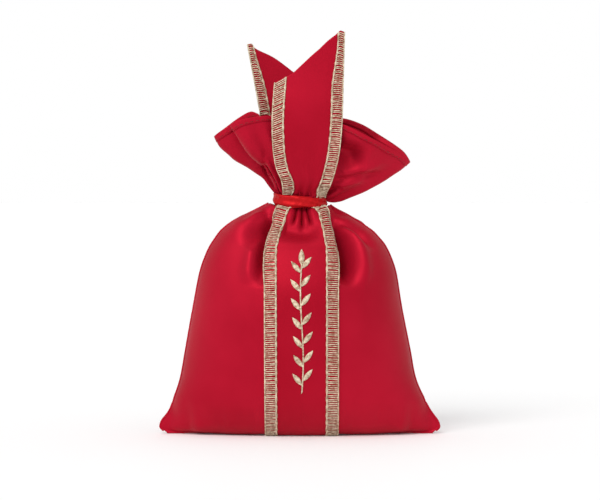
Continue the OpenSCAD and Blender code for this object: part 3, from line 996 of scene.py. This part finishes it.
def overlock(threads, read, total, outer, inner, lift):
    """Adds the thread of an overlocked edge from outer to inner, measured across the strip: a rung for each
    stitch and a chain along each side."""
    way = 1 if inner > outer else -1
    width = abs(inner - outer)
    at = np.arange(0.4, total - 0.2, STITCH)
    jig = np.sin(at * 12.9898) * 0.5 + np.sin(at * 78.233) * 0.5
    t = np.linspace(0, 1, 9)
    lean = 0.3 + 0.16 * np.sin(at * 3.7)
    along = at[:, None] + STITCH * (lean[:, None] * t[None] - 0.2) + 0.07 * jig[:, None]
    across = outer + way * width * (0.02 + 0.95 * t[None]) + 0 * along
    rise = lift + 0.13 + 0.08 * np.sin(np.pi * t)[None] + 0.03 * jig[:, None]
    points, normals = read(along, across, rise)
    threads.add(points, normals, THREAD_R)
    s = np.arange(0, total, STITCH / 8)
    for side, base, reach in ((outer, 0.06, 0.24), (inner, 0.18, 0.28)):
        for phase in (0, np.pi):
            swing = 2 * np.pi * s / STITCH + phase
            uneven = 0.8 + 0.3 * np.sin(s * 1.9)
            w = side - way * (0.0 if side == outer else 0.1) + reach * np.sin(swing) * uneven
            h = lift + base + 0.12 + 0.12 * np.cos(swing)
            points, normals = read(s, w, h)
            threads.add([points], [normals], THREAD_R * 0.95)
    return threads


def lengths_of(grid):
    """Length along a strip at each of its rows, down its middle."""
    return lengths_along(grid[:, grid.shape[1] // 2])


# ---------------------------------------------------------------- the band

BAND_COLS = 67
UNDER_TIE = 1.8


def band_strip(grids):
    """The band's outer face from the back of the neck, under the sack and up to the front of the neck, with
    the row where it turns from back to front."""
    u = np.linspace(-BAND_W / 2, BAND_W / 2, BAND_COLS)
    parts = []
    for side, mid in (("back", FLAT_W / 2 - BAND_MID), ("front", FLAT_W / 2 + BAND_MID)):
        cloth = Cloth(grids[side])
        rows = grids[side].shape[0]
        cols = (mid + u) / (CLOTH_STEP / FINE)
        point, normal = cloth.read(np.arange(rows)[:, None], cols[None])
        parts.append((point, normal))
    back_p, back_n = (a[::-1, ::-1] for a in parts[0])
    front_p, front_n = parts[1]
    points = np.concatenate([back_p, front_p[1:]])
    normals = np.concatenate([back_n, front_n[1:]])
    middle = len(back_p) - 1
    normals[middle - 2:middle + 3] = (0, 0, -1)
    strip = points + unit(blur(normals, 0, 2)) * BAND_T
    strip[:, :, 2] = np.maximum(strip[:, :, 2], 0.04)
    return strip, middle


def make_band(grids, paints):
    strip, middle = band_strip(grids)
    y = strip[:, BAND_COLS // 2, 1]
    z = strip[:, BAND_COLS // 2, 2]
    low = z < 3
    back_end = int(np.nonzero(low & (y > band_high[1]))[0].max(initial=middle - 8)) + 1
    front_start = int(np.nonzero(low & (y < band_low[1]))[0].min(initial=middle + 8))
    last = len(strip) - 1
    cuts = {"band_back": (0, back_end), "band_base": (back_end, front_start),
            "band_front": (front_start, last)}
    widths = np.linspace(0, BAND_W, BAND_COLS)
    for name, (a, b) in cuts.items():
        grid = strip[a:b + 1]
        length = lengths_of(grid)[-1]
        made = cloth_piece(name, grid, BAND_T * 0.9, paints["band"], (BAND_W, length))
        keep(made, "sack", "satin", name)
    for side, (a, b) in (("front", (middle, last)), ("back", (0, middle))):
        grid = strip[a:b + 1]
        lengths = lengths_of(grid)
        # The thread stops a little way up under the tie, at the front's far end and the back's near one.
        length = lengths[-1] - UNDER_TIE
        read = strip_reader(Cloth(grid), lengths - (0 if side == "front" else UNDER_TIE), widths)
        for hand, outer, inner in (("left", 0, EDGING_W), ("right", BAND_W, BAND_W - EDGING_W)):
            name = "band_%s_edging_%s" % (side, hand)
            made = overlock(Threads(), read, length, outer, inner, 0.0).link(name, paints["edging"])
            floor_up(made)
            keep(made, "sack", "edging", name)
    return strip[middle:]


def floor_up(made):
    """Presses thread that lies under the sack flat on the floor."""
    co = np.zeros(len(made.data.vertices) * 3, np.float32)
    made.data.vertices.foreach_get("co", co)
    co = co.reshape(-1, 3)
    co[:, 2] = np.maximum(co[:, 2], 0.00002)
    made.data.vertices.foreach_set("co", co.ravel())


# ---------------------------------------------------------------- embroidered sprig

SPRIG_LOW, SPRIG_HIGH = 16.0, 66.5
LEAF_PAIRS = 7


def make_sprig(front_strip, paints):
    """A stem with pairs of leaves in satin stitch, up the middle of the band's front."""
    grid = front_strip
    lengths = lengths_of(grid)
    read = strip_reader(Cloth(grid), lengths, np.linspace(0, BAND_W, BAND_COLS))
    line = grid[:, BAND_COLS // 2]
    rising = line[:, 2] > 6
    low, high = (float(np.interp(z, line[rising, 2], lengths[rising])) for z in (SPRIG_LOW, SPRIG_HIGH))
    threads = Threads()
    mid = BAND_W / 2

    def stem_w(s):
        return mid + 0.5 * np.sin((s - low) / (high - low) * 2.2 * np.pi)

    at = np.arange(low, high - 2.5, 0.3)
    t = np.linspace(0, 1, 6)
    s = at[:, None] + 0.9 * t[None]
    w = stem_w(s) + 0.34 * (t[None] - 0.5)
    points, normals = read(s, w, 0.16 + 0.14 * np.sin(np.pi * t)[None] + 0 * s)
    threads.add(points, normals, 0.13)

    def leaf(root_s, root_w, lean, long, wide):
        """Stitches side by side across a leaf that grows at lean from the stem's way."""
        along = np.arange(0.12, long, 0.2)
        half = wide * np.sin(np.pi * np.clip(along / long, 0, 1) ** 0.8)
        t = np.linspace(-1, 1, 7)
        a = along[:, None] + 0.35 * half[:, None] * np.abs(t)[None] + 0 * t[None]
        b = half[:, None] * t[None]
        s = root_s + a * np.cos(lean) - b * np.sin(lean)
        w = root_w + a * np.sin(lean) + b * np.cos(lean)
        lift = 0.14 + 0.3 * (1 - t[None] ** 2) * (half[:, None] / wide)
        points, normals = read(s, w, lift)
        threads.add(points, normals, 0.13)

    for pair in range(LEAF_PAIRS):
        s = mix(low + 3, high - 9, pair / (LEAF_PAIRS - 1))
        for way, shift in ((-1, 0.0), (1, 1.6)):
            leaf(s + shift, float(stem_w(s + shift)) + 0.15 * way, way * math.radians(38), 5.4, 0.85)
    leaf(high - 6.2, float(stem_w(high - 6.2)), 0.0, 6.2, 1.0)
    made = threads.link("embroidered_sprig", paints["edging"])
    keep(made, "sack", "embroidery", "embroidered_sprig")


# ---------------------------------------------------------------- frill

FRILL_T = 0.35
HEM_W = 1.5
HEM_T = 0.2
FRILL_START, FRILL_END = 9.0, 20.0


def frill_parts(frill):
    """The frill cut in four, each running left to right as seen from outside."""
    quarter = COLS // 4
    around = np.concatenate([frill, frill[:, :1]], 1)
    names = ("front_left", "front_right", "back_right", "back_left")
    return {name: finer(around[:, k * quarter:(k + 1) * quarter + 1]) for k, name in enumerate(names)}


def make_frill(frill, paints):
    parts = frill_parts(frill)
    row_mm = FRILL_L / (FRILL_ROWS - 1) / FINE
    hem_rows = int(round(HEM_W / row_mm)) + 1
    for name, grid in parts.items():
        if "front" in name:
            grid = press_folds(grid, FRILL_FOLDS)
        parts[name] = grid
        moving = "frill_left" if "left" in name else "frill_right"
        way = -1 if "left" in name else 1
        ends = (way * FRILL_START, 0, 0), (way * FRILL_END, 0, 0)
        made = cloth_piece("frill_" + name, grid, FRILL_T, paints["satin"], (FLAT_W / 2, FRILL_L))
        bend(made, moving, *ends, "satin", "frill_" + name)
        normals = unit(blur(normals_of(grid), 1, 2))
        fold = grid[-hem_rows:] + normals[-hem_rows:] * HEM_T
        rows = len(fold)
        over = (fold[-1] - normals[-1] * HEM_T * 0.5 + unit(grid[-1] - grid[-2]) * 0.3)[None]
        inside = fold[::-1] - normals[-hem_rows:][::-1] * (2 * HEM_T + FRILL_T)
        hem = np.concatenate([fold, over, inside])
        made = cloth_piece("hem_" + name, hem, HEM_T * 0.8, paints["hem"], (FLAT_W / 2, 2 * HEM_W))
        stitches = Threads()
        line, out = grid[-hem_rows + 1], normals[-hem_rows + 1]
        steps = lengths_along(line)
        at = np.arange(0.6, steps[-1] - 1.6, 2.0)
        t = np.linspace(0, 1, 6)
        s = at[:, None] + 1.35 * t[None]
        on = np.stack([np.interp(s, steps, line[:, k]) for k in range(3)], -1)
        face = unit(np.stack([np.interp(s, steps, out[:, k]) for k in range(3)], -1))
        rise = HEM_T + 0.12 * np.sin(np.pi * t) - 0.02
        stitches.add(on + face * rise[None, :, None], face, 0.09)
        sewn = stitches.link("hem_stitches_" + name, paints["sewing"])
        bend(made, moving, *ends, "satin", "hem_" + name)
        bend(sewn, moving, *ends, "seam")
    return parts


# ---------------------------------------------------------------- tails

TAIL_ROWS = 90
TAIL_LOW = 83.4
TAIL_T = 0.4
# Each tail's sides from the tie upwards, as (x, z).
FRONT_LEFT = [(-6.2, 84), (-6.0, 86), (-6.6, 90.7), (-8.4, 95), (-9.5, 101.4), (-9.9, 110.3), (-9.6, 118),
              (-9.0, 125.3)]
FRONT_RIGHT = [(8.6, 84), (9.4, 86.4), (10.9, 89.4), (12.5, 94.3), (14.0, 101.4), (14.9, 112), (15.3, 125),
               (15.8, 143.4)]
BACK_LEFT = [(-7.6, 84), (-8.2, 88), (-10.2, 96), (-12.4, 105), (-14.3, 113.9), (-16.5, 126), (-19.0, 139.2)]
BACK_RIGHT = [(7.4, 84), (8.4, 88), (9.8, 94), (10.6, 104), (9.4, 113), (8.0, 122)]


def tail_edge(rows, z):
    spread = refine(np.array(rows, float), 6)
    return np.interp(z, spread[:, 1], spread[:, 0])


# Share of the tail's width from its left side, and the height of its cut end there.
FRONT_CUT = [(0, 125.2), (0.166, 127.4), (0.275, 128.9), (0.54, 135.0), (0.65, 137.4), (0.75, 141.0),
             (0.84, 143.2), (0.93, 143.8), (1, 143.2)]
BACK_CUT = [(0, 139.4), (0.08, 139.7), (0.16, 138.6), (0.25, 136.6), (0.35, 134.4), (0.58, 129.5), (1, 121.8)]
# Height, and how far out from the middle of the sack a tail stands there.
TAIL_OUT = [(84, 6.5), (85.6, 7.0), (87.5, 8.7), (91, 10.6), (98, 12.2), (107, 13.0), (117, 12.8),
            (145, 12.8)]
# Between a tail and the frill.
TAIL_CLEAR = 0.75


def keep_edging(share, wide):
    """Share of the tail's width, where each edging takes up wide of it and the cloth between is gathered."""
    own = EDGING_W / BAND_W
    left = share / own * wide
    right = 1 - (1 - share) / own * wide
    between = wide + (share - own) / (1 - 2 * own) * (1 - 2 * wide)
    return np.where(share < own, left, np.where(share > 1 - own, right, between))


def tail_grid(left, right, cut_line, way, over):
    """A tail's outer face as rows x cols: its sides run up left and right, its end is cut along cut_line, and
    it lies on the outer side of the frill. way is -1 for the front tail and 1 for the back one."""
    share = np.linspace(0, 1, BAND_COLS)
    cut = curve(share, cut_line)
    v = np.linspace(0, 1, TAIL_ROWS)[:, None]
    z = TAIL_LOW + (cut[None] - TAIL_LOW) * v
    x_left, x_right = tail_edge(left, z), tail_edge(right, z)
    edging = mix(3.0, 4.0, smooth((z - 85) / 3))
    wide = np.clip(edging / (x_right - x_left), EDGING_W / BAND_W, 0.3)
    x = mix(x_left, x_right, keep_edging(share[None], wide))
    # The upper corner of the longer side turns away, so that it looks narrower there.
    turned, tip = (share[None], x_right) if way < 0 else (1 - share[None], x_left)
    corner = np.exp(-((turned - 0.84) / 0.11) ** 2)
    turn_away = 0.42 * smooth((z - 122) / 18) + (0.12 if way > 0 else 0)
    x = mix(x, tip, corner * turn_away)
    fade = np.exp(-np.maximum(z - 85, 0) / 6.0)
    gathers = 0.5 - 0.5 * np.cos(2 * np.pi * (4 * share[None] + 0.12 * np.sin(z / 3)))
    middle = smooth(share[None] * (1 - share[None]) * 6)
    lean = 0.13 * (z - 117) * smooth((z - 112) / 12)
    y = curve(z, TAIL_OUT) + way * lean
    y = y - 1.5 * fade * gathers * mix(0.4, 1, middle)
    y = y + 0.8 * smooth((z - 96) / 20) * (1 - (2 * share[None] - 1) ** 2)
    y = y + 0.5 * smooth((z - 90) / 15) * np.sin(0.09 * (z - 90) + 2.4 * share[None])
    under_tie = (NECK_B + 0.6) * np.clip(1 - (x / (NECK_A + 0.6)) ** 2, 0.02, 1) ** (NECK_ROUND / 2)
    y = mix(np.minimum(y, under_tie), y, smooth((z - 85.2) / 2.4))
    grid = np.stack([x, way * y, z], -1)
    # Keeps clear of the frill by looking up how far out it reaches near each point.
    for _ in range(2):
        near = over(grid[:, :, 0], grid[:, :, 2])
        out = np.maximum(way * grid[:, :, 1], (near + TAIL_CLEAR) * smooth((z - 86) / 3))
        grid[:, :, 1] = way * blur(blur(out, 0, 3), 1, 3)
    return grid


def reach_of(parts, way):
    """Returns a function of x and z that says how far out along way * y the frill reaches near there, from a
    map with a cell for each square millimetre."""
    points = np.concatenate([g.reshape(-1, 3) for n, g in parts.items() if ("front" in n) == (way < 0)])
    wide, high = 90, 40
    x_low, z_low, z_top = -45, 82, 117
    cell = (np.clip((points[:, 0] - x_low).astype(int), 0, wide - 1),
            np.clip((points[:, 2] - z_low).astype(int), 0, high - 1))
    reach = np.zeros((wide, high))
    np.maximum.at(reach, cell, way * points[:, 1])
    near = reach.copy()
    for a in (-1, 0, 1):
        for b in (-1, 0, 1):
            near = np.maximum(near, np.roll(reach, (a, b), (0, 1)))

    def over(x, z):
        i = np.clip(x - x_low - 0.5, 0, wide - 1.1)
        j = np.clip(z - z_low - 0.5, 0, high - 1.1)
        a, b = i.astype(int), j.astype(int)
        f, g = i - a, j - b
        found = mix(mix(near[a, b], near[a + 1, b], f), mix(near[a, b + 1], near[a + 1, b + 1], f), g)
        return np.where(z > z_top, 0, found)

    return over


def make_tails(parts, paints):
    for side, left, right, cut, way in (("front", FRONT_LEFT, FRONT_RIGHT, FRONT_CUT, -1),
                                        ("back", BACK_LEFT, BACK_RIGHT, BACK_CUT, 1)):
        grid = tail_grid(left, right, cut, way, reach_of(parts, way))
        face = grid if way < 0 else grid[:, ::-1]
        lengths = lengths_of(face)
        body = side + "_tail"
        ends = (0, 0, 85.2), (0, 0, 92.5)
        made = cloth_piece(body, face, TAIL_T, paints["band"], (BAND_W, lengths[-1]))
        bend(made, body, *ends, "satin", body)
        cloth = Cloth(face)
        flip = way > 0
        for hand, share in (("left", 0.0), ("right", 1.0)):
            at_start = (share == 0.0) != flip
            col = 0 if at_start else BAND_COLS - 1
            line = face[:, col]
            own = lengths_along(line)
            read = strip_reader(cloth, own, np.linspace(0, BAND_W, BAND_COLS))
            outer, inner = (0.0, EDGING_W) if at_start else (BAND_W, BAND_W - EDGING_W)
            name = "%s_edging_%s" % (body, hand)
            threads = overlock(Threads(), read, own[-1], outer, inner, 0.0)
            inside = strip_reader(Cloth(face[:, ::-1] - normals_of(face)[:, ::-1] * TAIL_T), own,
                                  np.linspace(0, BAND_W, BAND_COLS))
            overlock(threads, inside, own[-1], BAND_W - outer, BAND_W - inner, 0.0)
            bend(threads.link(name, paints["edging"]), body, *ends, "edging", name)


# ---------------------------------------------------------------- the tie

RIBBON_T = 0.3
# Top and bottom of each turn of ribbon, at its left and at its right, and how far it stands off the neck.
RIBBON_TURNS = [((84.6, 84.6), (80.6, 81.2), 0.0), ((86.0, 84.2), (81.9, 80.9), 0.3)]
# Room for the gathered cloth and the band between the neck and the ribbon, beside the neck and before it.
ROOM_BESIDE, ROOM_BEFORE = 0.85, 1.3


def make_ribbon(paints):
    """Two turns of ribbon round the neck, drawn tight and slanted, so that both show at the left."""
    cols, rows = 260, 15
    turn = np.arange(cols) / cols * 2 * np.pi
    x, y = -np.cos(turn), -np.sign(np.sin(turn)) * np.abs(np.sin(turn)) ** NECK_ROUND
    v = np.linspace(-1, 1, rows)[:, None]
    made_grids = []
    for (top_left, top_right), (low_left, low_right), lift in RIBBON_TURNS:
        a = NECK_A + ROOM_BESIDE + lift
        b = NECK_B + ROOM_BEFORE + lift
        folds = 0.2 * np.sin(4.4 * v + 2.0 * turn + 9 * lift) + 0.09 * np.sin(9 * turn + 2 * v)
        folds = folds + 0.05 * np.sin(23 * turn - 3 * v)
        curl = -0.25 * v ** 4
        out = folds + curl
        top = mix(top_left, top_right, (x + 1) / 2) + 0.12 * np.sin(5 * turn)
        low = mix(low_left, low_right, (x + 1) / 2) + 0.14 * np.sin(4 * turn + 1)
        z = mix(low, top, (v + 1) / 2)
        made_grids.append(np.stack([(a + out) * x, (b + out) * y, z + 0 * out], -1))
    vertices, faces = [], []
    for grid in made_grids:
        inner = grid - normals_of(grid, closed=True) * RIBBON_T
        n = rows * cols
        first = sum(len(p) for p in vertices)
        vertices += [grid.reshape(-1, 3), inner.reshape(-1, 3)]
        faces += grid_faces(rows, cols, closed=True, first=first)
        faces += [list(reversed(f)) for f in grid_faces(rows, cols, closed=True, first=first + n)]
        for j in range(cols):
            k = (j + 1) % cols
            top = first + (rows - 1) * cols
            faces.append([first + k, first + j, first + n + j, first + n + k])
            faces.append([top + j, top + k, top + n + k, top + n + j])
    made = link("tie_ribbon", np.concatenate(vertices), faces, paints["ribbon"])
    keep(made, "sack", "ribbon", "tie_ribbon")


# How much nearer the neck the drawn-tight ribbon lies than the CAD's, which the knot makes up for.
KNOT_REACH = 1.1


def make_knot(paints):
    low, high = node_box("tie_knot")
    low[1] -= KNOT_REACH
    centre, half = (low + high) / 2, (high - low) / 2
    rows, cols = 28, 48
    theta = np.linspace(0, np.pi, rows)[:, None]
    phi = np.arange(cols)[None] / cols * 2 * np.pi
    # A tight half knot: a short roll, a little waisted, crossed by slanting folds.
    waist = np.exp(-(np.cos(theta) / 0.3) ** 2)
    fold = 0.88 + 0.1 * np.sin(2 * phi + 4 * np.cos(theta)) - 0.1 * waist
    ring_r = np.sqrt(np.sin(theta)) * fold
    x = centre[0] + half[0] * np.cos(theta) + 0 * phi
    y = centre[1] + half[1] * ring_r * np.cos(phi)
    z = centre[2] + half[2] * ring_r * np.sin(phi)
    points = np.stack([x, y, z], -1).reshape(-1, 3)
    made = link("tie_knot", points, grid_faces(rows, cols, closed=True), paints["ribbon"])
    keep(made, "sack", "ribbon", "tie_knot")


# Each free end's width and length, how much its cut slants to each side of the middle, and how far it bows.
END_W, END_L, END_CUT, END_SWAY = 3.8, 15.2, 1.3, 1.5
END_CLOTH = (4.0, 15.0)


def make_tie_ends(paints):
    """Two short ends that hang from the knot, each with a slanted cut."""
    for hand, way in (("left", -1), ("right", 1)):
        low, high = node_box("tie_end_" + hand)
        root = np.array([way * 1.6, low[1] - 0.5, high[2] - 0.5])
        down = unit(np.array([way * 0.34, 0.42, -0.84]))
        across = unit(np.cross([0, 1.0, 0.6], down))
        out = unit(np.cross(down, across))
        rows, cols = 40, 13
        t = np.linspace(0, 1, rows)[:, None]
        s = np.linspace(-1, 1, cols)[None]
        length = END_L - END_CUT * (s * way + 1)
        width = END_W / 2 * smooth(0.35 + 1.6 * t)
        sway = END_SWAY * np.sin(np.pi * t) * np.sign(out[1])
        sway = sway + 0.3 * s * np.sin(3 * t + way) + 0.18 * s ** 2 * (1 - t)
        grid = root + down * (length * t)[..., None] + across * (width * s)[..., None] + out * sway[..., None]
        if np.dot(normals_of(grid)[rows // 2, cols // 2], [0, 1, 0]) < 0:
            grid = grid[:, ::-1]
        made = cloth_piece("tie_end_" + hand, grid, RIBBON_T, paints["ribbon"], END_CLOTH)
        keep(made, "tie_end_" + hand, "ribbon", "tie_end_" + hand)


def make_neck(paints):
    """The gathered cloth inside the tie: a plug that closes the neck from above."""
    outline = ring(NECK_A - 0.5, NECK_B - 0.5, NECK_ROUND, 1.0)
    rows = [np.column_stack([outline * scale, np.full(COLS, z)]) for scale, z in
            ((0.96, 80.5), (0.97, 83), (0.95, 85.5), (0.8, 86.2), (0.4, 86.0), (0.02, 85.6))]
    grid = np.array(rows)
    made = link("neck_gather", grid.reshape(-1, 3), grid_faces(len(rows), COLS, closed=True), paints["satin"])
    keep(made, "sack", "satin", "neck_gather")


# ---------------------------------------------------------------- all together

make_camera()
make_light()
make_floor()
make_backdrop()
bpy.context.scene.view_settings.view_transform = "Standard"
paints = make_paints()
belly = stand_on_floor(shape_belly(simulate_belly()))
frill = simulate_frill()
make_filling(belly, paints["wadding"])
whole, grids = make_panels(belly, paints)
make_seams(whole, paints)
make_neck(paints)
front_strip = make_band(grids, paints)
make_sprig(front_strip, paints)
parts = make_frill(frill, paints)
make_tails(parts, paints)
make_ribbon(paints)
make_knot(paints)
make_tie_ends(paints)
